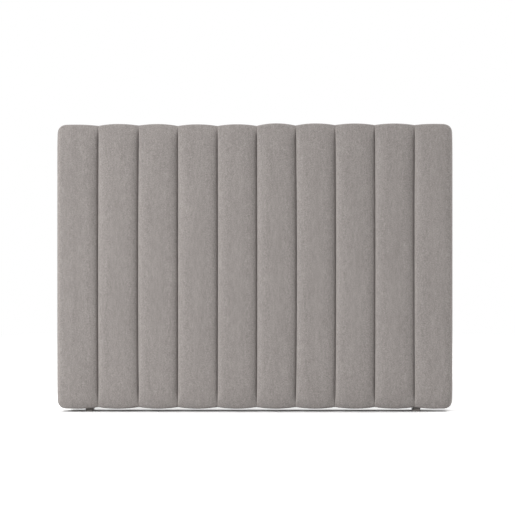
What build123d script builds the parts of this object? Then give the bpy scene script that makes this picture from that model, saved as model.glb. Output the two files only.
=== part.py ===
"""Floor-standing headboard, upholstered in ten vertical channels, in millimetres.

The origin is on the floor under the middle of the panel. +X runs to the right as seen from the
bed, the padded front faces -Y, the back faces +Y, and +Z is up.

From back to front: a dust cover, the timber frame with its studs, a plywood board, ten strips of
foam side by side, and ten strips of fabric sewn edge to edge and wrapped over the top, the sides
and the underside onto the back of the frame.
"""
from build123d import *
from math import asin, cos, radians, sin, sqrt
import os

os.makedirs("parts", exist_ok=True)

# Whole panel
panel_width = 1650
panel_height = 1204
panel_depth = 100
channel_count = 10
left_channel_share = 1.047      # widths of the two outer channels against a middle one's
right_channel_share = 0.96
front_gap = 12          # floor to the lowest point of a channel at the front
foot_height = 19        # floor to the flat underside behind the front padding

# Upholstery
fabric_thickness = 1.4
dust_cover_thickness = 1
side_padding = 12
top_padding = 12
fabric_return = 45      # width of fabric turned onto the back of the frame
dust_cover_margin = 9   # bare fabric left showing around the dust cover

# Form of one channel, as the outer face of the fabric
shoulder_radius = 45    # rounding beside each seam
side_radius = 20        # rounding along the panel's upright sides
crown_angle = 4         # slope where the flat crown meets a shoulder, in degrees
seam_angle = 50         # slope of the foam where two channels meet, in degrees
top_scallop = 9         # dip of the top edge at a seam
bottom_scallop = foot_height - front_gap
back_scallop_share = 0.5
side_scallop_share = 0.25
back_fall = 4           # the top slopes down this far from front to back
top_radius = 28
top_radius_at_seam = 14
bottom_radius = 18
bottom_radius_at_seam = 8
corner_radius = 35      # corners of the panel as seen from the front
tuck_length = 1.5       # least run from the front rounding to the flat underside
shoulder_steps = 3
side_steps = 4
hidden_steps = 2        # of a shoulder or side, on the inner face of the fabric
crown_steps = 2
corner_steps = 2        # more sections of an outer channel, where the corners bend its crown

# Timber frame
timber_depth = 44
timber_width = 60
stud_width = 44
board_thickness = 5
frame_corner_radius = 26
block_leg = 85
block_depth = 36

# Fixings
plate_width = 38        # pressed nail plates, flush with the back of every joint
plate_length = 100
plate_thickness = 1
strut_inset = 385       # from the panel's sides to the bolt holes for the bed's struts
strut_spacing = 160     # between a lower bolt hole and an upper one
strut_height = 340      # floor to the middle of the four bolt holes
insert_bore_radius = 4
insert_radius = 6
insert_length = 20
cover_hole_radius = 9

# Feet
foot_width = 30
foot_depth = 65
foot_left_inset = 132   # from the panel's left side to the middle of the foot
foot_right_inset = 148
foot_front = -20        # front face of both feet
foot_corner_chamfer = 3
foot_sole_chamfer = 1.5
foot_clearance = 0.3

cut_overrun = 10

# Where the seams lie
outer_shares = left_channel_share + right_channel_share
channel_width = panel_width / (channel_count - 2 + outer_shares)
left_channel_width = channel_width * left_channel_share
right_channel_width = channel_width * right_channel_share

# Planes that the pieces share
front_plane = -panel_depth / 2
back_plane = panel_depth / 2
fabric_back = back_plane - dust_cover_thickness
frame_back = fabric_back - fabric_thickness
frame_front = frame_back - timber_depth
board_front = frame_front - board_thickness
frame_half_width = panel_width / 2 - fabric_thickness - side_padding
frame_bottom = foot_height + fabric_thickness
frame_top = panel_height - fabric_thickness - top_padding
stile_height = frame_top - frame_bottom - 2 * timber_width
stile_x = frame_half_width - timber_width / 2
stud_x = panel_width / 2 - strut_inset
strut_heights = (strut_height - strut_spacing / 2, strut_height + strut_spacing / 2)
foot_left_x = -panel_width / 2 + foot_left_inset
foot_right_x = panel_width / 2 - foot_right_inset

# Where the arcs of a channel's cross-section lie
seam_reach = (shoulder_radius - fabric_thickness) * sin(radians(seam_angle))


def box_between(low, high):
    """A block from its lowest corner to its highest."""
    size = [b - a for a, b in zip(low, high)]
    middle = [(a + b) / 2 for a, b in zip(low, high)]
    return Pos(*middle) * Box(*size)


def hole_along_y(x, y, z, radius, length):
    """A cylinder that starts at y and runs forwards, towards -Y."""
    return Pos(x, y, z) * Rot(90, 0, 0) * Cylinder(
        radius, length, align=(Align.CENTER, Align.CENTER, Align.MIN)
    )


def channel_spans(width, at_side, inset):
    """The cross-section of one channel as three spans of (x, depth behind the crest plane).

    A shoulder arc, a wide crown arc and a shoulder arc, all tangent, from left to right. With
    at_side the left shoulder turns all the way back to be the panel's side. The inset gives the
    parallel curve under the fabric.
    """
    left_radius = side_radius if at_side else shoulder_radius
    left_reach = side_radius if at_side else seam_reach
    left_centre = -width / 2 + left_reach
    right_centre = width / 2 - seam_reach
    slope = radians(crown_angle)
    crown_left = left_centre - left_radius * sin(slope)
    crown_right = right_centre + shoulder_radius * sin(slope)
    crown_centre = (crown_left + crown_right) / 2
    crown_radius = (crown_right - crown_left) / 2 / sin(slope)
    left_end = radians(90) if at_side else asin(left_reach / (left_radius - inset))
    right_end = asin(seam_reach / (shoulder_radius - inset))
    left_steps = side_steps if at_side else shoulder_steps
    right_steps = shoulder_steps
    if inset > 0:
        left_steps = right_steps = hidden_steps

    def even_angles(start, end, count):
        return [start + (end - start) * i / count for i in range(count + 1)]

    def arc(centre, radius, angles):
        centre_depth = crown_radius - (crown_radius - radius) * cos(slope)
        reach = radius - inset
        return [(centre + reach * sin(a), centre_depth - reach * cos(a)) for a in angles]

    crown_angles = even_angles(-slope, slope, crown_steps)
    if at_side:
        corner_end = asin((corner_radius - width / 2 - crown_centre) / crown_radius)
        crown_angles = even_angles(-slope, corner_end, corner_steps) + crown_angles[1:]
    return [
        arc(left_centre, left_radius, even_angles(-left_end, -slope, left_steps)),
        arc(crown_centre, crown_radius, crown_angles),
        arc(right_centre, shoulder_radius, even_angles(slope, right_end, right_steps)),
    ]


def corner_drop(distance, radius):
    """How far a rounded corner falls away at a distance from its outer edge."""
    inside = min(max(radius - distance, 0), radius)
    return radius - sqrt(radius**2 - inside**2)


def channel_section(x, depth, width, at_side, inset):
    """The upright section of one wrapped channel at x: padding and frame as one outline."""
    half_width = width / 2
    scallop_share = (x / half_width) ** 2
    corner = 0
    if at_side and x < 0:
        scallop_share *= side_scallop_share
        corner = corner_drop(x + half_width - inset, corner_radius - inset)

    full_depth = channel_spans(width, False, inset)[0][0][1]
    groove_share = min(depth / full_depth, 1)
    rounding_top = top_radius + (top_radius_at_seam - top_radius) * groove_share - inset
    rounding_bottom = (
        bottom_radius + (bottom_radius_at_seam - bottom_radius) * groove_share - inset
    )

    y_front = front_plane + depth
    y_back = fabric_back - inset
    z_top = panel_height - inset - top_scallop * scallop_share - corner
    z_back = (
        panel_height - inset - back_fall - top_scallop * scallop_share * back_scallop_share
        - corner
    )
    z_low = front_gap + inset + bottom_scallop * scallop_share + corner
    z_seat = foot_height + inset + corner
    y_seat = max(foot_front - foot_clearance, y_front + rounding_bottom + tuck_length)

    def line(start, end):
        return Edge.make_line((x, *start), (x, *end))

    def rounding(start, centre, end, radius):
        outwards = ((start[0] + end[0]) / 2 - centre[0], (start[1] + end[1]) / 2 - centre[1])
        scale = radius / sqrt(outwards[0] ** 2 + outwards[1] ** 2)
        middle = (centre[0] + outwards[0] * scale, centre[1] + outwards[1] * scale)
        return Edge.make_three_point_arc((x, *start), (x, *middle), (x, *end))

    top_start = (y_front, z_top - rounding_top)
    top_end = (y_front + rounding_top, z_top)
    back_edge = (y_back, z_back)
    seat_back = (y_back, z_seat)
    seat_front = (y_seat, z_seat)
    bottom_start = (y_front + rounding_bottom, z_low)
    bottom_end = (y_front, z_low + rounding_bottom)
    return Wire([
        line(bottom_end, top_start),
        rounding(top_start, (top_end[0], top_start[1]), top_end, rounding_top),
        line(top_end, back_edge),
        line(back_edge, seat_back),
        line(seat_back, seat_front),
        line(seat_front, bottom_start),
        rounding(bottom_start, (bottom_start[0], bottom_end[1]), bottom_end, rounding_bottom),
    ])


def channel_block(width, at_side, inset):
    """One channel's whole wrapped form, centred on x = 0."""
    blocks = [
        Solid.make_loft(
            [channel_section(x, depth, width, at_side, inset) for x, depth in span], ruled=True
        )
        for span in channel_spans(width, at_side, inset)
    ]
    return Part() + blocks


def channel_foam(width, at_side):
    """The foam strip: the form under the fabric, less the board and the frame behind it."""
    frame_left = -width / 2 + fabric_thickness + side_padding if at_side else -width
    far_back = back_plane + cut_overrun
    frame_space = box_between((frame_left, board_front, frame_bottom), (width, far_back, frame_top))
    outer_corners = frame_space.edges().filter_by(Axis.Y).group_by(Axis.X)[0]
    frame_space = fillet(outer_corners, frame_corner_radius)
    frame_space += box_between(
        (frame_left + frame_corner_radius, board_front, frame_bottom - cut_overrun),
        (width, far_back, frame_bottom + cut_overrun),
    )
    return channel_block(width, at_side, fabric_thickness) - frame_space


def cover_strip(width, at_side):
    """The fabric strip around the foam, open at the back inside its turned-in edge."""
    window_left = -width / 2 + fabric_return if at_side else -width
    window = box_between(
        (window_left, frame_front, foot_height + fabric_return),
        (width, back_plane + cut_overrun, panel_height - fabric_return),
    )
    strip = channel_block(width, at_side, 0) - channel_block(width, at_side, fabric_thickness)
    return strip - window


def upright_places():
    """X centre of each upright of the frame, left to right."""
    return [-stile_x, -stud_x, 0, stud_x, stile_x]


def joint_plates():
    """One nail plate across every joint, pressed flush into the back of rail and upright."""
    plates = []
    for x in upright_places():
        for joint_z in (frame_bottom + timber_width, frame_top - timber_width):
            plates.append(box_between(
                (x - plate_width / 2, frame_back - plate_thickness, joint_z - plate_length / 2),
                (x + plate_width / 2, frame_back, joint_z + plate_length / 2),
            ))
    return plates


def rail(low, outer_side):
    """A full-length rail from its underside at height low, rounded along its outer corners.

    outer_side is 0 where the rail's underside is the frame's outer side, and -1 for its top.
    """
    timber = box_between(
        (-frame_half_width, frame_front, low), (frame_half_width, frame_back, low + timber_width)
    )
    outer_corners = timber.edges().filter_by(Axis.Y).group_by(Axis.Z)[outer_side]
    return fillet(outer_corners, frame_corner_radius) - joint_plates()


def upright(x, width):
    """A stile or stud between the rails."""
    low = frame_bottom + timber_width
    timber = box_between(
        (x - width / 2, frame_front, low), (x + width / 2, frame_back, low + stile_height)
    )
    return timber - joint_plates()


def bolted_stud(x):
    """A stud with two inserts let into its back for the bed's struts."""
    stud = upright(x, stud_width)
    for z in strut_heights:
        stud -= hole_along_y(
            x, frame_back + cut_overrun, z, insert_radius, insert_length + cut_overrun
        )
    return stud


def threaded_inserts():
    inserts = []
    for x in (-stud_x, stud_x):
        for z in strut_heights:
            shell = hole_along_y(x, frame_back, z, insert_radius, insert_length)
            inserts.append(shell - hole_along_y(
                x, frame_back + cut_overrun, z, insert_bore_radius, insert_length + 2 * cut_overrun
            ))
    return inserts


def corner_blocks():
    """Four triangular blocks glued into the corners of the frame, flush with its front."""
    inner_x = frame_half_width - timber_width
    low_z = frame_bottom + timber_width
    high_z = frame_top - timber_width
    blocks = []
    for side in (-1, 1):
        for z, up in ((low_z, 1), (high_z, -1)):
            corner = (side * inner_x, z)
            outline = Polyline(
                corner, (corner[0] - side * block_leg, z), (corner[0], z + up * block_leg),
                close=True,
            )
            plane = Plane.XZ.offset(-(frame_front + block_depth))
            blocks.append(extrude(plane * make_face(outline), block_depth))
    return blocks


def front_board():
    board = box_between(
        (-frame_half_width, board_front, frame_bottom), (frame_half_width, frame_front, frame_top)
    )
    return fillet(board.edges().filter_by(Axis.Y), frame_corner_radius)


def dust_cover():
    """The thin cloth over the back, with a hole at each insert."""
    side = panel_width / 2 - dust_cover_margin
    top = (
        panel_height - back_fall - top_scallop * back_scallop_share - dust_cover_margin
    )
    cloth = box_between(
        (-side, fabric_back, foot_height + dust_cover_margin), (side, back_plane, top)
    )
    cloth = fillet(cloth.edges().filter_by(Axis.Y), corner_radius - dust_cover_margin)
    for x in (-stud_x, stud_x):
        for z in strut_heights:
            cloth -= hole_along_y(x, back_plane + cut_overrun, z, cover_hole_radius,
                                  dust_cover_thickness + 2 * cut_overrun)
    return cloth


def foot(foot_x):
    """A moulded glide block with bevelled edges, seated on the flat underside."""
    block = box_between(
        (foot_x - foot_width / 2, foot_front, 0),
        (foot_x + foot_width / 2, foot_front + foot_depth, foot_height),
    )
    block = chamfer(block.edges().filter_by(Axis.Z), foot_corner_chamfer)
    return chamfer(block.faces().sort_by(Axis.Z)[0].edges(), foot_sole_chamfer)


def save(name, shape):
    export_step(Compound(children=shape) if isinstance(shape, list) else shape,
                f"parts/{name}.step")


save("top_rail", rail(frame_top - timber_width, -1))
save("bottom_rail", rail(frame_bottom, 0))
save("stile_left", upright(-stile_x, timber_width))
save("stile_right", upright(stile_x, timber_width))
save("stud_left", bolted_stud(-stud_x))
save("stud_middle", upright(0, stud_width))
save("stud_right", bolted_stud(stud_x))
save("corner_blocks", corner_blocks())
save("joint_plates", joint_plates())
save("threaded_inserts", threaded_inserts())
save("front_board", front_board())
save("dust_cover", dust_cover())
save("foot_left", foot(foot_left_x))
save("foot_right", foot(foot_right_x))

for name, make in (("channel_foam", channel_foam), ("cover_strip", cover_strip)):
    left_form = make(left_channel_width, at_side=True)
    middle_form = make(channel_width, at_side=False)
    right_form = mirror(make(right_channel_width, at_side=True), about=Plane.YZ)
    left_edge = -panel_width / 2
    for i in range(channel_count):
        if i == 0:
            form, width = left_form, left_channel_width
        elif i == channel_count - 1:
            form, width = right_form, right_channel_width
        else:
            form, width = middle_form, channel_width
        save(f"{name}_{i + 1:02d}", Pos(left_edge + width / 2, 0, 0) * form)
        left_edge += width
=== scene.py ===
"""The looks of a floor-standing headboard, padded in upright fabric channels.

Everything is in metres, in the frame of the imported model: +X to the right as seen from the bed,
the padded front faces -Y, +Z is up, and the floor is at zero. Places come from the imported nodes.
"""

import math
from types import SimpleNamespace

import bmesh
import bpy
import numpy as np
from mathutils import Euler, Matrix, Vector


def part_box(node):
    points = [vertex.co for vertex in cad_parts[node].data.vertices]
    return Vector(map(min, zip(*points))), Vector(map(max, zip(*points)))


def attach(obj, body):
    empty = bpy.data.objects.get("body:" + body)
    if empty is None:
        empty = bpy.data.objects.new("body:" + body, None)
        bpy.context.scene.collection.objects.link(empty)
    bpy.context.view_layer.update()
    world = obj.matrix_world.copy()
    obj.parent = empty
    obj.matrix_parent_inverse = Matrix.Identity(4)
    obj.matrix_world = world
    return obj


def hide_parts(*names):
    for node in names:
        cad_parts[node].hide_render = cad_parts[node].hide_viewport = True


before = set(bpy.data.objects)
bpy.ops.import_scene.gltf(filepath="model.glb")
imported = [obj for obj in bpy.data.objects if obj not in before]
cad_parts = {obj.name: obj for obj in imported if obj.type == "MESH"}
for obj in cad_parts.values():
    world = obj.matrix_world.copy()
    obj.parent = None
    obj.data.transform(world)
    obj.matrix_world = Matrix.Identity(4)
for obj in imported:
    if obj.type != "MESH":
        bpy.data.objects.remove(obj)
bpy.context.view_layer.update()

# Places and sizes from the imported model
channel_count = 10
strip_names = [f"cover_strip_{i + 1:02d}" for i in range(channel_count)]
foam_names = [f"channel_foam_{i + 1:02d}" for i in range(channel_count)]
panel_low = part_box(strip_names[0])[0]
panel_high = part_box(strip_names[-1])[1]
seams = [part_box(name)[0].x for name in strip_names] + [panel_high.x]
panel_top = max(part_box(name)[1].z for name in strip_names)
front_gap = min(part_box(name)[0].z for name in strip_names)
panel_height = panel_top - front_gap
front_plane = panel_low.y
fabric_back = panel_high.y
foot_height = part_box("foot_left")[1].z
board_low, board_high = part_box("front_board")
frame_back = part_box("top_rail")[1].y
rail_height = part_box("top_rail")[1].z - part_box("top_rail")[0].z
cloth_low, cloth_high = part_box("dust_cover")
insert_low, insert_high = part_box("threaded_inserts")
uprights = [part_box(name) for name in (
    "stile_left", "stud_left", "stud_middle", "stud_right", "stile_right")]

# Form of one channel
crown_rise = 0.0035             # of the wide crown, from seam to middle
slack_crown = 0.0012            # how much of it the padding adds as the fabric settles
shoulder_rise = 0.0085          # of the roll towards each seam
shoulder_power = 6.5
crease_depth = 0.006            # of the tight fold at the seam itself
crease_width = 0.0016
groove_depth = crown_rise + shoulder_rise + crease_depth
side_radius = 0.020             # rounding along the panel's upright sides
side_slope = math.radians(6)    # where it starts
side_power = 3                  # of the curve that leads there from a side channel's middle
crease_fade = 0.042             # the fold deepens over this length from the top
shoulder_fade = 0.068           # and the rolls beside it over this one
bottom_fade = 0.070
end_pull = 0.1                  # share of its depth that is left at its ends
top_roll, top_roll_length = 0.012, 0.030
bottom_roll, bottom_roll_length = 0.0135, 0.027
top_slope_share, bottom_slope_share = 0.7, 0.8  # of a roll's steepest slope, where it rounds over
top_slope = math.atan(top_roll / top_roll_length * top_slope_share)
bottom_slope = math.atan(bottom_roll / bottom_roll_length * bottom_slope_share)
top_radius, top_radius_at_seam = 0.014, 0.008
bottom_radius, bottom_radius_at_seam = 0.010, 0.006
bottom_scallop = foot_height - front_gap
side_scallop_share = 0.25       # of it, towards the panel's sides
back_scallop_share = 0.5
side_dip = 0.0025
back_fall = 0.004
corner_radius = 0.035           # corners of the panel as seen from the front
frame_corner_radius = 0.026     # corners of the timber frame inside it
corner_steps = 12
back_edge_radius = 0.004
seat_front = -0.0203            # the flat underside starts here, ahead of the feet
seam_gap = 0.0001               # each strip stops this far short of the seam's middle
fabric_return = 0.045

# What sets each channel and seam apart from an even one, from left to right
crest_drops = (0.0055, 0.0027, 0.0029, 0.0041, 0.0039, 0.0, 0.0003, 0.0006, 0.0006, 0.0022)
seam_dips = (0.0105, 0.009, 0.011, 0.011, 0.0105, 0.009, 0.007, 0.007, 0.007)
seam_shifts = (-0.0027, -0.0008, 0.0009, 0.0022, 0.0014, 0.0019, 0.0002, -0.0007, -0.0024)
seam_bows = (0.0021, 0.0035, 0.0001, -0.0007, -0.0012, -0.0040, -0.0025, -0.0013, 0.0016)

# How full the rolls beside a seam are along its length
mean_softness = 1.05
fuller_by = 0.26
fullest_share, fuller_reach_share = 0.8, 0.17   # of the panel's height
softness_waves = ((0.08, 1.3, 0.37), (0.04, 3.7, 0.61))     # amount, waves, shift at each seam

# How finely a channel is meshed before subdivision
front_rows = 80
row_easing = 0.09               # rows lie closer together towards both ends by this share
column_easing = 0.6             # and columns towards a seam by this one
plain_back_rows = 6
top_round_rows = 6
top_rows = 8
back_round_rows = 3
under_rows = 9
lobe_rows = 3
bottom_round_rows = 4
shoulder_columns = 7
side_columns = 9
crown_columns = 7
end_bands = 12                  # across each closed end of a channel


def smooth_step(t):
    t = np.clip(t, 0, 1)
    return t * t * (3 - 2 * t)


def corner_drop(distance, radius):
    """How far a rounded corner falls away at a distance from its outer edge."""
    inside = np.clip(radius - distance, 0, radius)
    return radius - np.sqrt(radius**2 - inside**2)


def seam_place(number, height_share):
    """Where a seam runs at a share of the panel's height: the sides are straight, it bows."""
    if number in (0, channel_count):
        return seams[number]
    bow = seam_bows[number - 1] * (2 * height_share - 1) ** 2
    return seams[number] + seam_shifts[number - 1] + bow


def seam_softness(number, height_share):
    """How much fuller or tighter the roll beside a seam is, along its length."""
    from_fullest = (height_share - fullest_share) / fuller_reach_share
    softness = mean_softness + fuller_by * math.exp(-(from_fullest**2))
    for amount, waves, shift in softness_waves:
        softness += amount * math.sin(2 * math.pi * (waves * height_share + shift * number))
    return softness


def groove_share(height_share, top_fade):
    """How much of a groove's depth is left at a height: it fades out towards both ends."""
    from_top = panel_height * (1 - height_share) / top_fade
    from_bottom = panel_height * height_share / bottom_fade
    return end_pull + (1 - end_pull) * float(smooth_step(from_top) * smooth_step(from_bottom))


def half_section(half_width, is_side, height_share, softness):
    """(distance from the middle, depth) of one half of a channel's cross-section."""
    if is_side:
        reach = half_width - side_radius * (1 - math.sin(side_slope))
        across = np.linspace(0, 1, crown_columns + 1)[:-1]
        start_depth = math.tan(side_slope) * reach / side_power
        angle = np.linspace(side_slope, math.radians(90), side_columns + 1)
        arc_x = half_width - side_radius * (1 - np.sin(angle))
        arc_depth = start_depth + side_radius * (math.cos(side_slope) - np.cos(angle))
        depth = start_depth * across**side_power
        return np.append(reach * across, arc_x), np.append(depth, arc_depth)
    across = np.linspace(0, 1, crown_columns + shoulder_columns + 1)
    share = 1 - (1 - across) ** 2 * (1 + column_easing * across)
    x = half_width * share
    depth = slack_crown + (crown_rise - slack_crown) * share**2
    shoulder = shoulder_rise * groove_share(height_share, shoulder_fade)
    depth += shoulder * softness * share ** (shoulder_power / softness)
    crease = crease_depth * groove_share(height_share, crease_fade)
    depth += crease * np.exp((x - half_width) / crease_width)
    return x, depth


def eased(share, easing):
    """A share of a length, moved towards the nearer end of it."""
    return share - easing * math.sin(2 * math.pi * share)


def outline_rows(back_rows):
    """(stretch, share) of each row around a channel's upright section.

    It goes up the front, back over the top, down the back and forwards along the underside.
    Rows are eased on the front, and on a back that has as many of them."""
    stretches = [
        ("front", front_rows), ("top_round", top_round_rows), ("top", top_rows),
        ("back_top", back_round_rows), ("back", back_rows), ("back_bottom", back_round_rows),
        ("under", under_rows), ("lobe", lobe_rows), ("bottom_round", bottom_round_rows),
    ]
    rows = []
    for stretch, count in stretches:
        easing = row_easing if count == front_rows else 0
        rows += [(stretch, eased(i / count, easing)) for i in range(count)]
    return rows


def height_share_of(stretch, share):
    """Height of a row as a share of the panel's."""
    return {
        "front": share, "back": 1 - share, "top_round": 1, "top": 1, "back_top": 1,
    }.get(stretch, 0)


def channel_section(number, height_share):
    """(middle, half width, offsets from the middle, depths) of a channel at a height."""
    left_x = seam_place(number, height_share)
    right_x = seam_place(number + 1, height_share)
    half_width = (right_x - left_x) / 2
    left, left_depth = half_section(
        half_width, number == 0, height_share, seam_softness(number, height_share))
    right, right_depth = half_section(
        half_width, number == channel_count - 1, height_share,
        seam_softness(number + 1, height_share))
    x = np.append(-left[:0:-1], right)
    depth = np.append(left_depth[:0:-1], right_depth)
    return (left_x + right_x) / 2, half_width, x, depth


def channel_form(number, half_width, x, depth):
    """The heights and depths that a channel's outline runs between, at each place across it."""
    left_is_side = number == 0
    right_is_side = number == channel_count - 1
    drop = crest_drops[number]
    left_dip = drop + side_dip if left_is_side else seam_dips[number - 1]
    right_dip = drop + side_dip if right_is_side else seam_dips[number]
    share_across = np.abs(x) / half_width
    dip = drop + (np.where(x < 0, left_dip, right_dip) - drop) * share_across**2
    low_rise = bottom_scallop * share_across**2
    from_side = np.full_like(x, half_width)
    if left_is_side:
        from_side = np.where(x < 0, x + half_width, from_side)
        low_rise = np.where(x < 0, low_rise * side_scallop_share, low_rise)
    if right_is_side:
        from_side = np.where(x > 0, half_width - x, from_side)
        low_rise = np.where(x > 0, low_rise * side_scallop_share, low_rise)
    corner = corner_drop(from_side, corner_radius)
    groove = np.minimum(depth / groove_depth, 1)

    form = SimpleNamespace()
    form.round_top = top_radius + (top_radius_at_seam - top_radius) * groove
    form.round_bottom = bottom_radius + (bottom_radius_at_seam - bottom_radius) * groove
    form.top_run = form.round_top * (1 - math.sin(top_slope))
    form.bottom_run = form.round_bottom * (1 - math.sin(bottom_slope))
    form.z_top = panel_top - dip - corner
    form.z_back = form.z_top - back_fall + (dip - drop) * (1 - back_scallop_share)
    form.z_low = front_gap + low_rise + corner
    form.z_seat = foot_height + corner
    form.y_front = front_plane + depth
    form.y_back = fabric_back - corner_drop(from_side, back_edge_radius)
    form.y_top_start = form.y_front + top_roll * np.exp(-form.top_run / top_roll_length)
    form.y_top_end = form.y_top_start + form.round_top * math.cos(top_slope)
    form.y_bottom_start = form.y_front + bottom_roll * np.exp(-form.bottom_run / bottom_roll_length)
    form.y_bottom_end = form.y_bottom_start + form.round_bottom * math.cos(bottom_slope)
    form.y_seat = np.maximum(seat_front, form.y_bottom_end + back_edge_radius)
    return form


def outline_place(form, stretch, share):
    """(y, z) at a share of one stretch of a channel's outline, at each place across it."""
    edge = back_edge_radius
    if stretch == "front":
        low = form.z_low + form.bottom_run
        high = form.z_top - form.top_run
        z = low + (high - low) * share
        y = (
            form.y_front + top_roll * np.exp((z - form.z_top) / top_roll_length)
            + bottom_roll * np.exp((form.z_low - z) / bottom_roll_length)
        )
    elif stretch == "top_round":
        angle = top_slope + (math.radians(90) - top_slope) * share
        y = form.y_top_start + form.round_top * (math.cos(top_slope) - math.cos(angle))
        z = form.z_top - form.round_top * (1 - math.sin(angle))
    elif stretch == "top":
        y = form.y_top_end + (form.y_back - edge - form.y_top_end) * share
        z = form.z_top + (form.z_back - form.z_top) * share
    elif stretch == "back_top":
        angle = math.radians(90) * share
        y = form.y_back - edge * (1 - math.sin(angle))
        z = form.z_back - edge * (1 - math.cos(angle))
    elif stretch == "back":
        high = form.z_back - edge
        y = form.y_back
        z = high + (form.z_seat + edge - high) * share
    elif stretch == "back_bottom":
        angle = math.radians(90) * share
        y = form.y_back - edge * (1 - math.cos(angle))
        z = form.z_seat + edge * (1 - math.sin(angle))
    elif stretch == "under":
        y = form.y_back - edge + (form.y_seat - form.y_back + edge) * share
        z = form.z_seat
    elif stretch == "lobe":
        y = form.y_seat + (form.y_bottom_end - form.y_seat) * share
        z = form.z_seat + (form.z_low - form.z_seat) * smooth_step(share)
    else:
        angle = math.radians(90) * (1 - share) + bottom_slope * share
        y = form.y_bottom_start + form.round_bottom * (math.cos(bottom_slope) - math.cos(angle))
        z = form.z_low + form.round_bottom * (1 - math.sin(angle))
    return y, z


def channel_row(number, stretch, share):
    """Points across one channel's outer face, at a share of one stretch of its outline."""
    middle, half_width, x, depth = channel_section(number, height_share_of(stretch, share))
    y, z = outline_place(channel_form(number, half_width, x, depth), stretch, share)
    if number > 0:
        x[0] += seam_gap
    if number < channel_count - 1:
        x[-1] -= seam_gap
    return np.stack([middle + x, y, z], axis=1)


def channel_points(number, back_rows):
    """Points of one channel's outer face, by row and column."""
    rows = outline_rows(back_rows)
    return np.array([channel_row(number, stretch, share) for stretch, share in rows])


def side_grid(points, column, back_rows, first_index):
    """Points and faces that close a channel on the panel's side, as one smooth grid.

    Its rim is the channel's own outline there: such a point's index is kept as -1 less its row."""
    across = top_round_rows + top_rows + back_round_rows
    loop = points[:, column]
    total = len(loop)
    front = list(range(front_rows + 1))
    top = [front_rows + j for j in range(across + 1)]
    back = [front_rows + across + back_rows - i for i in range(back_rows + 1)]
    bottom = [(total - j) % total for j in range(across + 1)]
    added, faces = [], []
    index = np.zeros((front_rows + 1, across + 1), int)
    for i in range(front_rows + 1):
        for j in range(across + 1):
            if j == 0:
                index[i, j] = -1 - front[i]
            elif j == across:
                index[i, j] = -1 - back[i]
            elif i == 0:
                index[i, j] = -1 - bottom[j]
            elif i == front_rows:
                index[i, j] = -1 - top[j]
            else:
                u, v = eased(i / front_rows, row_easing), j / across
                edges = (
                    (1 - v) * loop[front[i]] + v * loop[back[i]]
                    + (1 - u) * loop[bottom[j]] + u * loop[top[j]]
                )
                corners = (
                    (1 - u) * ((1 - v) * loop[front[0]] + v * loop[back[0]])
                    + u * ((1 - v) * loop[front[-1]] + v * loop[back[-1]])
                )
                index[i, j] = first_index + len(added)
                added.append(edges - corners)
    index = np.where(index < 0, (-1 - index) * points.shape[1] + column, index)
    for i in range(front_rows):
        for j in range(across):
            faces.append([index[i, j], index[i, j + 1], index[i + 1, j + 1], index[i + 1, j]])
    return added, faces


def channel_mesh(number):
    """One padded channel's outer face as vertices and faces, and the vertices held in place."""
    left_is_side = number == 0
    right_is_side = number == channel_count - 1
    back_rows = front_rows if left_is_side or right_is_side else plain_back_rows
    points = channel_points(number, back_rows)
    row_count, column_count = points.shape[:2]
    vertices = points.reshape(-1, 3).tolist()
    faces = []
    for i in range(row_count):
        following = (i + 1) % row_count
        for j in range(column_count - 1):
            faces.append([
                i * column_count + j, i * column_count + j + 1,
                following * column_count + j + 1, following * column_count + j,
            ])
    free = [
        i * column_count + j
        for i, (stretch, _) in enumerate(outline_rows(back_rows)) for j in range(1, column_count - 1)
        if stretch in ("front", "top_round", "bottom_round")
    ]
    for column, is_side in ((0, left_is_side), (column_count - 1, right_is_side)):
        if is_side:
            added, side_faces = side_grid(points, column, back_rows, len(vertices))
            vertices += [list(p) for p in added]
            faces += side_faces if column > 0 else [face[::-1] for face in side_faces]
    held = sorted(set(range(len(vertices))) - set(free))
    return vertices, faces, held


def new_mesh_object(name, vertices, faces):
    mesh = bpy.data.meshes.new(name)
    mesh.from_pydata(vertices, [], faces)
    mesh.validate()
    mesh.update()
    piece = bpy.data.objects.new(name, mesh)
    bpy.context.scene.collection.objects.link(piece)
    return piece


def object_from_build(name, build):
    mesh = bpy.data.meshes.new(name)
    build.to_mesh(mesh)
    build.free()
    piece = bpy.data.objects.new(name, mesh)
    bpy.context.scene.collection.objects.link(piece)
    return piece


def turn_outwards(build, piece):
    """Turns every face of a build outwards and makes it the piece's mesh."""
    bmesh.ops.recalc_face_normals(build, faces=build.faces)
    build.to_mesh(piece.data)
    build.free()


def shade_smooth(piece, sharp_angle):
    piece.data.polygons.foreach_set("use_smooth", [True] * len(piece.data.polygons))
    piece.data.set_sharp_from_angle(angle=sharp_angle)


def dress(piece, material):
    piece.data.materials.clear()
    piece.data.materials.append(material)


def keep_modified(piece):
    """Makes the mesh with its modifiers the piece's own mesh."""
    graph = bpy.context.evaluated_depsgraph_get()
    mesh = bpy.data.meshes.new_from_object(piece.evaluated_get(graph))
    piece.modifiers.clear()
    piece.data = mesh


def close_ends(piece):
    """Closes each open end of a piece, in level bands that follow a bowed seam."""
    build = bmesh.new()
    build.from_mesh(piece.data)
    open_edges = [e for e in build.edges if e.is_boundary]
    ends = bmesh.ops.holes_fill(build, edges=open_edges, sides=0)["faces"]
    for height in np.linspace(front_gap, panel_top, end_bands + 1)[1:-1]:
        edges = list({e for face in ends for e in face.edges})
        points = list({v for face in ends for v in face.verts})
        cut = bmesh.ops.bisect_plane(
            build, geom=ends + edges + points, plane_co=(0, 0, height), plane_no=(0, 0, 1))
        ends = [g for g in cut["geom"] if isinstance(g, bmesh.types.BMFace)]
    turn_outwards(build, piece)


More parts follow.
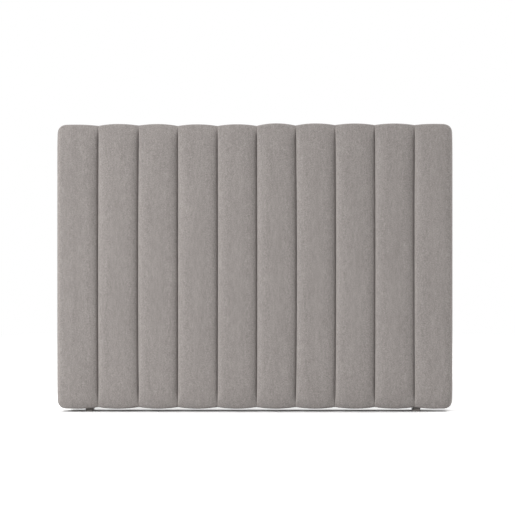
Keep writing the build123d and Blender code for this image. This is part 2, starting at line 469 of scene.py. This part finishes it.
def plate_object(name, low, high, radius):
    """A closed block whose four corners, as seen from the front, are rounded."""
    left, right = low[0] + radius, high[0] - radius
    bottom, top = low[2] + radius, high[2] - radius
    outline = []
    for number, (x, z) in enumerate(((right, top), (left, top), (left, bottom), (right, bottom))):
        for step in range(corner_steps + 1):
            angle = math.pi / 2 * (number + step / corner_steps)
            outline.append((x + radius * math.cos(angle), z + radius * math.sin(angle)))
    count = len(outline)
    vertices = [(x, y, z) for y in (low[1], high[1]) for x, z in outline]
    faces = [tuple(range(count)), tuple(range(2 * count - 1, count - 1, -1))]
    for i in range(count):
        j = (i + 1) % count
        faces.append((j, i, i + count, j + count))
    return new_mesh_object(name, vertices, faces)


def cut_away(piece, cutter):
    cut = piece.modifiers.new("cut", "BOOLEAN")
    cut.operation = "DIFFERENCE"
    cut.solver = "MANIFOLD"
    cut.object = cutter
    keep_modified(piece)


# The cloth simulation that sets the fabric over its padding
simulated_frames = 20
padding_pressure = 4.0
padding_hold = 0.3              # how firmly the foam keeps the fabric near its shape
most_movement = 0.003
least_length = 1e-9             # a movement no longer than this is none


def settle_fabric(channels, held):
    """Lets padding press the front of every channel out, between its held seams and edges."""
    scene = bpy.context.scene
    scene.frame_start = 1
    scene.frame_end = simulated_frames
    for channel, indices in zip(channels, held):
        group = channel.vertex_groups.new(name="held")
        group.add(range(len(channel.data.vertices)), padding_hold, "REPLACE")
        group.add(indices, 1.0, "REPLACE")
        cloth = channel.modifiers.new("cloth", "CLOTH")
        cloth.settings.quality = 3
        cloth.settings.mass = 0.3
        cloth.settings.tension_stiffness = 20
        cloth.settings.compression_stiffness = 20
        cloth.settings.shear_stiffness = 8
        cloth.settings.bending_stiffness = 0.5
        cloth.settings.use_pressure = True
        cloth.settings.uniform_pressure_force = padding_pressure
        cloth.settings.effector_weights.gravity = 0
        cloth.settings.vertex_group_mass = group.name
        cloth.settings.pin_stiffness = 1.0
        cloth.collision_settings.use_collision = False
        cloth.point_cache.frame_end = simulated_frames
    for number in range(1, simulated_frames + 1):
        scene.frame_set(number)
    graph = bpy.context.evaluated_depsgraph_get()
    for channel in channels:
        count = len(channel.data.vertices)
        rest = np.empty(count * 3)
        moved = np.empty(count * 3)
        channel.data.vertices.foreach_get("co", rest)
        channel.evaluated_get(graph).data.vertices.foreach_get("co", moved)
        rest = rest.reshape(-1, 3)
        step = moved.reshape(-1, 3) - rest
        length = np.linalg.norm(step, axis=1, keepdims=True)
        rest += step * np.minimum(1, most_movement / np.maximum(length, least_length))
        channel.modifiers.clear()
        channel.data.vertices.foreach_set("co", rest.ravel())
        channel.data.update()
    scene.frame_set(1)


# How a channel is cut to fit the frame, and shaded
frame_clearance = 0.0001
window_back = 0.1               # the opening between the turned edges is cut out to here
channel_sharp_angle = math.radians(25)


def make_channels(fabric):
    """The ten padded channels, each hollowed to sit on the board and frame."""
    clear = frame_clearance
    frame_space = plate_object(
        "frame_space",
        (board_low.x - clear, board_low.y - clear, board_low.z - clear),
        (board_high.x + clear, frame_back + clear, board_high.z + clear),
        frame_corner_radius + clear,
    )
    window = plate_object(
        "window",
        (panel_low.x + fabric_return, 0, foot_height + fabric_return),
        (panel_high.x - fabric_return, window_back, panel_top - fabric_return),
        frame_corner_radius,
    )
    channels, held = [], []
    for number in range(channel_count):
        vertices, faces, indices = channel_mesh(number)
        channels.append(new_mesh_object(f"padded_channel_{number + 1:02d}", vertices, faces))
        held.append(indices)
    settle_fabric(channels, held)
    for number, channel in enumerate(channels):
        subdivision = channel.modifiers.new("subdivision", "SUBSURF")
        subdivision.levels = 1
        subdivision.render_levels = 1
        keep_modified(channel)
        close_ends(channel)
        cut_away(channel, frame_space)
        cut_away(channel, window)
        shade_smooth(channel, channel_sharp_angle)
        dress(channel, fabric)
        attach(channel, "root")
        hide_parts(strip_names[number], foam_names[number])
    for cutter in (frame_space, window):
        bpy.data.objects.remove(cutter)


# The dust cover and its staples
cover_columns, cover_rows = 120, 84
cover_rows_replaced = 3         # even rows at each end that give way to those of the corners
cover_thickness = 0.0008
cover_corner_radius = 0.026
cover_corner_rows = (0, 0.002, 0.006, 0.012, 0.019)     # heights that follow a corner's curve
cover_hole_radius = 0.009
cover_hole_sides = 32
cover_hole_cut = 0.02           # length of the cutter
cover_sharp_angle = math.radians(40)
insert_radius = 0.006
edge_dent = 0.0012              # the edge, pressed flat under its staples
edge_dent_reach = 0.012
bay_sag = 0.0025                # between two studs
bay_sag_power = 0.6             # below 1, it reaches close to the rails
staple_pitch = 0.055
staple_inset = 0.006
staple_crown, staple_wire = 0.010, 0.0007
staple_rounding = 0.45 * staple_wire
staple_lean = 9                 # degrees, at most
staple_seed = 4


def cover_outline(z):
    """Half the cover's width at a height, with its rounded corners."""
    from_end = min(z - cloth_low.z, cloth_high.z - z)
    drop = float(corner_drop(np.array(max(from_end, 0)), cover_corner_radius))
    return (cloth_high.x - cloth_low.x) / 2 - drop


def cover_dent(x, z):
    """How far the cover lies in front of the back plane: at its edge and in the bays."""
    from_edge = min(cover_outline(z) - abs(x), z - cloth_low.z, cloth_high.z - z)
    edge = edge_dent * math.exp(-from_edge / edge_dent_reach)
    low = cloth_low.z + rail_height
    high = cloth_high.z - rail_height
    along = min(max((z - low) / (high - low), 0), 1)
    sag = 0.0
    for left, right in zip(uprights, uprights[1:]):
        if left[1].x < x < right[0].x:
            across = (x - left[1].x) / (right[0].x - left[1].x)
            sag = bay_sag * math.sin(math.pi * across) ** 2
            sag *= math.sin(math.pi * along) ** bay_sag_power
    return edge + sag


def hole_cutter(x, z):
    """A cylinder through the cover, across its plane."""
    build = bmesh.new()
    bmesh.ops.create_cone(build, cap_ends=True, segments=cover_hole_sides,
                          radius1=cover_hole_radius, radius2=cover_hole_radius,
                          depth=cover_hole_cut)
    cutter = object_from_build("hole", build)
    cutter.location = (x, cloth_high.y, z)
    cutter.rotation_euler = (math.radians(90), 0, 0)
    return cutter


def make_dust_cover(material, staples):
    """The thin black cloth over the back, sagging a little between the studs."""
    heights = np.linspace(cloth_low.z, cloth_high.z, cover_rows + 1)
    ends = np.array([*cover_corner_rows, cover_corner_radius])
    between = heights[cover_rows_replaced:-cover_rows_replaced]
    heights = np.concatenate([cloth_low.z + ends, between, cloth_high.z - ends[::-1]])
    vertices, faces = [], []
    for layer in (0, cover_thickness):
        for z in heights:
            half = cover_outline(z)
            for j in range(cover_columns + 1):
                x = half * (2 * j / cover_columns - 1)
                vertices.append((x, cloth_high.y - cover_dent(x, z) - layer, z))
    width = cover_columns + 1
    layer_size = width * len(heights)
    for i in range(len(heights) - 1):
        for j in range(cover_columns):
            a = i * width + j
            quad = (a, a + 1, a + width + 1, a + width)
            faces.append(quad[::-1])
            faces.append(tuple(k + layer_size for k in quad))
    rim = (
        list(range(width)) + [i * width + width - 1 for i in range(1, len(heights))]
        + list(range(layer_size - 2, layer_size - width - 1, -1))
        + [i * width for i in range(len(heights) - 2, 0, -1)]
    )
    for a, b in zip(rim, rim[1:] + rim[:1]):
        faces.append((a, b, b + layer_size, a + layer_size))
    cover = new_mesh_object("stretched_dust_cover", vertices, faces)
    build = bmesh.new()
    build.from_mesh(cover.data)
    turn_outwards(build, cover)
    for x in (insert_low.x + insert_radius, insert_high.x - insert_radius):
        for z in (insert_low.z + insert_radius, insert_high.z - insert_radius):
            cutter = hole_cutter(x, z)
            cut_away(cover, cutter)
            bpy.data.objects.remove(cutter)
    shade_smooth(cover, cover_sharp_angle)
    dress(cover, material)
    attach(cover, "root")
    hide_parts("dust_cover")


def make_staples(material):
    """A row of wire staples along every edge of the dust cover, as one mesh."""
    build = bmesh.new()
    half = (cloth_high.x - cloth_low.x) / 2 - staple_inset
    low, high = cloth_low.z + staple_inset, cloth_high.z - staple_inset
    places = []
    reach = half - 2 * cover_corner_radius
    for x in np.linspace(-reach, reach, round(2 * reach / staple_pitch) + 1):
        places += [(x, low, 0), (x, high, 0)]
    start, end = low + 2 * cover_corner_radius, high - 2 * cover_corner_radius
    for z in np.linspace(start, end, round((end - start) / staple_pitch) + 1):
        places += [(-half, z, 90), (half, z, 90)]
    leans = np.random.default_rng(staple_seed).uniform(-staple_lean, staple_lean, len(places))
    for (x, z, turn), lean in zip(places, leans):
        made = bmesh.ops.create_cube(build, size=1)["verts"]
        bmesh.ops.scale(build, vec=(staple_crown, staple_wire, 2 * staple_wire), verts=made)
        edges = list({e for v in made for e in v.link_edges})
        made = bmesh.ops.bevel(
            build, geom=edges, offset=staple_rounding, segments=2, affect="EDGES")["verts"]
        bmesh.ops.rotate(build, verts=made, cent=(0, 0, 0),
                         matrix=Euler((0, math.radians(turn + lean), 0)).to_matrix())
        bmesh.ops.translate(
            build, verts=made, vec=(x, cloth_high.y - cover_dent(x, z) + staple_wire / 2, z))
    staples = object_from_build("cover_staples", build)
    dress(staples, material)
    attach(staples, "root")
    return staples


class Shader:
    """The nodes of a material or of the world, under construction."""

    def __init__(self, owner, output="OutputMaterial"):
        owner.use_nodes = True
        self.owner = owner
        self.tree = owner.node_tree
        self.tree.nodes.clear()
        self.output = self.tree.nodes.new(f"ShaderNode{output}")

    def add(self, kind, settings=None, **inputs):
        """A node, with attributes from settings and inputs that are linked or constant.

        An input is given by its name, or as _0, _1 and so on by its place."""
        node = self.tree.nodes.new(f"ShaderNode{kind}")
        for key, value in (settings or {}).items():
            setattr(node, key, value)
        for key, value in inputs.items():
            by_place = key.startswith("_")
            socket = node.inputs[int(key[1:]) if by_place else key.replace("_", " ")]
            if isinstance(value, bpy.types.NodeSocket):
                self.tree.links.new(value, socket)
            else:
                socket.default_value = value
        return node

    def show(self, shader):
        """Shows a shader, and hands over the finished material or world."""
        self.tree.links.new(shader.outputs[0], self.output.inputs[0])
        return self.owner

    def place(self):
        return self.add("TexCoord").outputs["Object"]

    def stretched(self, vector, scale):
        return self.add("Mapping", Vector=vector, Scale=scale).outputs[0]

    def noise(self, vector, scale, detail, roughness):
        node = self.add("TexNoise", Vector=vector, Scale=scale, Detail=detail, Roughness=roughness)
        return node.outputs["Fac"]

    def math(self, operation, a, b=0.0):
        return self.add("Math", {"operation": operation}, _0=a, _1=b).outputs[0]

    def weighted(self, first, *others):
        """The sum of values, each given with its weight."""
        total = self.math("MULTIPLY", *first)
        for part in others:
            total = self.math("ADD", total, self.math("MULTIPLY", *part))
        return total

    def smooth(self, value, start, end, at_start=0.0, at_end=1.0):
        """Goes smoothly from one result to another as a value goes from start to end."""
        node = self.add("MapRange", {"interpolation_type": "SMOOTHSTEP"}, _0=value, _1=start,
                        _2=end, _3=at_start, _4=at_end)
        return node.outputs[0]

    def tint(self, value, low, low_color, high, high_color):
        """Goes from one colour to another as a value goes from low to high."""
        node = self.add("ValToRGB", Fac=value)
        first, last = node.color_ramp.elements
        first.position = low
        first.color = (*low_color, 1)
        last.position = high
        last.color = (*high_color, 1)
        return node.outputs[0]

    def bump(self, height, strength, distance):
        node = self.add("Bump", Height=height, Strength=strength, Distance=distance)
        return node.outputs[0]

    def mix(self, share, first, second):
        """A share of the second shader, with the rest of the first."""
        return self.add("MixShader", _0=share, _1=first.outputs[0], _2=second.outputs[0])

    def seen_rays(self):
        """1 for rays from the camera and those mirrored or let through, 0 for scattered ones."""
        path = self.add("LightPath")
        direct = self.math("MAXIMUM", path.outputs["Is Camera Ray"], path.outputs["Is Glossy Ray"])
        return self.math("MAXIMUM", direct, path.outputs["Is Transmission Ray"])


def fabric_material():
    """Velvet with a short pile: finely mottled, with faint streaks where it is brushed upright."""
    s = Shader(bpy.data.materials.new("brushed_velvet"))
    place = s.place()
    grain = s.noise(place, scale=300.0, detail=3.0, roughness=0.7)
    streaks = s.noise(s.stretched(place, (1.0, 1.0, 0.3)), scale=130.0, detail=2.0, roughness=0.5)
    patches = s.noise(s.stretched(place, (1.0, 1.0, 0.16)), scale=24.0, detail=3.0, roughness=0.55)
    mottle = s.weighted((grain, 0.72), (streaks, 0.18), (patches, 0.10))
    nap = s.noise(s.stretched(place, (1.0, 1.0, 0.4)), scale=1500.0, detail=3.0, roughness=0.6)
    return s.show(s.add(
        "BsdfPrincipled",
        Base_Color=s.tint(mottle, 0.36, (0.215, 0.195, 0.185), 0.64, (0.395, 0.363, 0.347)),
        Roughness=0.9, Specular_IOR_Level=0.2,
        Sheen_Weight=0.3, Sheen_Roughness=0.5, Sheen_Tint=(1.0, 0.97, 0.95, 1),
        Normal=s.bump(nap, strength=0.35, distance=0.0006),
    ))


def timber_material(name, along, early, late):
    """Planed softwood with its grain along one axis, 0 for X and 2 for Z."""
    s = Shader(bpy.data.materials.new(name))
    across_grain, along_grain = 22.0, 0.9
    stretch = [across_grain, across_grain, across_grain]
    stretch[along] = along_grain
    place = s.stretched(s.place(), stretch)
    rings = s.noise(place, scale=3.0, detail=4.0, roughness=0.55)
    pores = s.noise(place, scale=26.0, detail=3.0, roughness=0.6)
    grain = s.weighted((rings, 0.75), (pores, 0.25))
    return s.show(s.add(
        "BsdfPrincipled", Base_Color=s.tint(grain, 0.40, late, 0.60, early), Roughness=0.62,
        Normal=s.bump(grain, strength=0.25, distance=0.0005),
    ))


def zinc_material():
    """Bright zinc plating with a fine spangle."""
    s = Shader(bpy.data.materials.new("bright_zinc"))
    spangle = s.noise(s.place(), scale=420.0, detail=3.0, roughness=0.6)
    return s.show(s.add(
        "BsdfPrincipled", Metallic=1.0,
        Base_Color=s.tint(spangle, 0.0, (0.50, 0.50, 0.49), 1.0, (0.70, 0.70, 0.68)),
        Roughness=s.math("ADD", s.math("MULTIPLY", spangle, 0.2), 0.28),
    ))


def foot_material():
    """Moulded plastic with a fine spark-eroded grain, scuffed a little towards the floor."""
    s = Shader(bpy.data.materials.new("moulded_plastic"))
    scuffed_height, scuffed_share = 0.008, 0.5
    place = s.place()
    grain = s.noise(place, scale=2600.0, detail=2.0, roughness=0.5)
    scuff = s.noise(place, scale=240.0, detail=4.0, roughness=0.7)
    height = s.add("SeparateXYZ", Vector=place).outputs["Z"]
    near_floor = s.add("MapRange", _0=height, _1=0.0, _2=scuffed_height, _3=scuffed_share, _4=0.0)
    worn = s.math("MULTIPLY", scuff, near_floor.outputs[0])
    return s.show(s.add(
        "BsdfPrincipled",
        Base_Color=s.tint(worn, 0.0, (0.140, 0.126, 0.116), 1.0, (0.24, 0.225, 0.21)),
        Roughness=0.55, Normal=s.bump(grain, strength=0.3, distance=0.0002),
    ))


def dust_cloth_material():
    """Black non-woven cloth: matted fibres with a small embossed dot pattern."""
    s = Shader(bpy.data.materials.new("black_nonwoven"))
    place = s.place()
    fibres = s.noise(place, scale=900.0, detail=4.0, roughness=0.75)
    clouds = s.noise(place, scale=40.0, detail=2.0, roughness=0.5)
    matting = s.weighted((fibres, 0.7), (clouds, 0.3))
    dots = s.add("TexVoronoi", {"feature": "F1"}, Vector=place, Scale=480.0, Randomness=0.0)
    height = s.weighted((dots.outputs["Distance"], 0.6), (fibres, 0.4))
    return s.show(s.add(
        "BsdfPrincipled",
        Base_Color=s.tint(matting, 0.35, (0.012, 0.012, 0.013), 0.65, (0.034, 0.034, 0.036)),
        Roughness=0.92, Normal=s.bump(height, strength=0.5, distance=0.0005),
    ))


def dress_nodes(zinc):
    """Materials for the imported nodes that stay."""
    early, late = (0.62, 0.46, 0.30), (0.47, 0.31, 0.18)
    along_x = timber_material("pine_along_x", 0, early, late)
    along_z = timber_material("pine_along_z", 2, early, late)
    veneer = timber_material("plywood_veneer", 2, (0.56, 0.41, 0.27), (0.42, 0.29, 0.18))
    plastic = foot_material()
    materials = {
        "top_rail": along_x, "bottom_rail": along_x, "front_board": veneer,
        "joint_plates": zinc, "threaded_inserts": zinc, "foot_left": plastic,
        "foot_right": plastic,
    }
    for name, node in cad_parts.items():
        dress(node, materials.get(name, along_z))


# The floor
floor_size = 60.0
floor_gain = 1.42               # how light the floor looks near the headboard
floor_painted_shade_tone = 0.8               # painted shade: how light the floor is drawn right under the panel, darker than around it
painted_shade_margin = 0.008            # the painted shade reaches this far ahead of the panel and behind it
floor_bounce = 0.6              # how light it is as it lights the headboard
floor_shade_reach = 3.6         # the lamps shade it out to this distance
floor_white_from = 6.0          # and it is plain white from here on

# The light
white = (1, 1, 1, 1)
key_direction = Vector((-0.694, -0.583, 0.423))
key_distance = 14.0
key_size = 4.0
key_power = 425.0
key_spread = math.radians(80)
key_aim_share = 0.30            # it points at the floor, this far out towards itself
rim_place = Vector((6.0, 0.9, 1.6))
rim_size = 1.5
rim_power = 190.0
front_glow = 0.27               # the surroundings ahead of the panel and near the floor
back_glow = 1.0                 # and above and behind it
glow_turn = 0.4                 # they change from ahead of it to behind over this slope
glow_low, glow_high = 0.12, 0.62    # and from low to high between these

# The camera
camera_x = 0.0109
camera_height = 0.6435
camera_distance = 5.6           # from the panel's front
picture_width = 2.1417          # metres across the picture, at the panel's front
sensor_width = 36.0


def make_floor():
    """A pale floor, shaded by the lamps near the headboard, with painted shade right under the
    panel, and plain white far away from it.
    """
    half = floor_size / 2
    floor = new_mesh_object(
        "floor", [(-half, -half, 0), (half, -half, 0), (half, half, 0), (-half, half, 0)],
        [(0, 1, 2, 3)],
    )
    s = Shader(bpy.data.materials.new("studio_floor"))
    matt = s.add("BsdfDiffuse", Color=(floor_bounce, floor_bounce, floor_bounce, 1))
    place = s.place()
    parts = s.add("SeparateXYZ", Vector=place)
    # Painted shade: the floor as seen is drawn darker within the panel's width and depth, a painted
    # contact shadow under the panel
    beside = s.smooth(s.math("ABSOLUTE", parts.outputs["X"]),
                      panel_high.x - corner_radius, panel_high.x, 1.0, 0.0)
    ahead = s.smooth(s.math("ABSOLUTE", parts.outputs["Y"]),
                     -front_plane, -front_plane + painted_shade_margin, 1.0, 0.0)
    under = s.math("MULTIPLY", beside, ahead)
    floor_tone_with_painted_shade = s.math("ADD", s.math("MULTIPLY", under, floor_painted_shade_tone - floor_gain), floor_gain)
    near = s.add("BsdfDiffuse", Color=floor_tone_with_painted_shade)
    plain = s.add("Emission", Color=white, Strength=1.0)
    distance = s.add("VectorMath", {"operation": "LENGTH"}, _0=place).outputs["Value"]
    seen = s.mix(s.smooth(distance, floor_shade_reach, floor_white_from), near, plain)
    material = s.show(s.mix(s.seen_rays(), matt, seen))
    material.cycles.emission_sampling = "NONE"
    dress(floor, material)


def make_surroundings():
    """Light from all around, most of it from above and behind the panel, that looks white."""
    world = bpy.data.worlds.new("studio")
    bpy.context.scene.world = world
    s = Shader(world, "OutputWorld")
    direction = s.add("SeparateXYZ", Vector=s.add("TexCoord").outputs["Generated"])
    behind = s.smooth(direction.outputs["Y"], -glow_turn, glow_turn)
    above = s.smooth(direction.outputs["Z"], glow_low, glow_high)
    glow = s.math("MULTIPLY", s.math("MULTIPLY", behind, above), back_glow - front_glow)
    around = s.add("Background", Color=white, Strength=s.math("ADD", glow, front_glow))
    seen = s.add("Background", Color=white, Strength=1.0)
    s.show(s.mix(s.seen_rays(), around, seen))


def make_lamp(name, place, aim, size, power, spread=math.radians(180)):
    light = bpy.data.lights.new(name, "AREA")
    light.shape = "SQUARE"
    light.size = size
    light.energy = power
    light.spread = spread
    lamp = bpy.data.objects.new(name, light)
    lamp.location = place
    lamp.rotation_euler = (place - aim).to_track_quat("Z", "Y").to_euler()
    bpy.context.scene.collection.objects.link(lamp)


def make_lamps():
    """A far key lamp to the left and ahead of the panel, and a rim lamp to its right."""
    middle = Vector((0, 0, panel_top / 2))
    key_place = middle + key_distance * key_direction
    key_aim = Vector((key_place.x, key_place.y, 0)) * key_aim_share
    make_lamp("key", key_place, key_aim, key_size, key_power, key_spread)
    make_lamp("rim", rim_place, middle, rim_size, rim_power)


def make_camera():
    """A level camera ahead of the panel."""
    camera = bpy.data.cameras.new("camera")
    camera.sensor_width = sensor_width
    camera.lens = sensor_width * camera_distance / picture_width
    camera.clip_start = 0.1
    camera.clip_end = 200.0
    holder = bpy.data.objects.new("camera", camera)
    holder.location = (camera_x, front_plane - camera_distance, camera_height)
    holder.rotation_euler = (math.radians(90), 0, 0)
    bpy.context.scene.collection.objects.link(holder)
    bpy.context.scene.camera = holder


bpy.context.scene.view_settings.view_transform = "Standard"
zinc = zinc_material()
make_channels(fabric_material())
dress_nodes(zinc)
make_dust_cover(dust_cloth_material(), make_staples(zinc))
make_floor()
make_surroundings()
make_lamps()
make_camera()
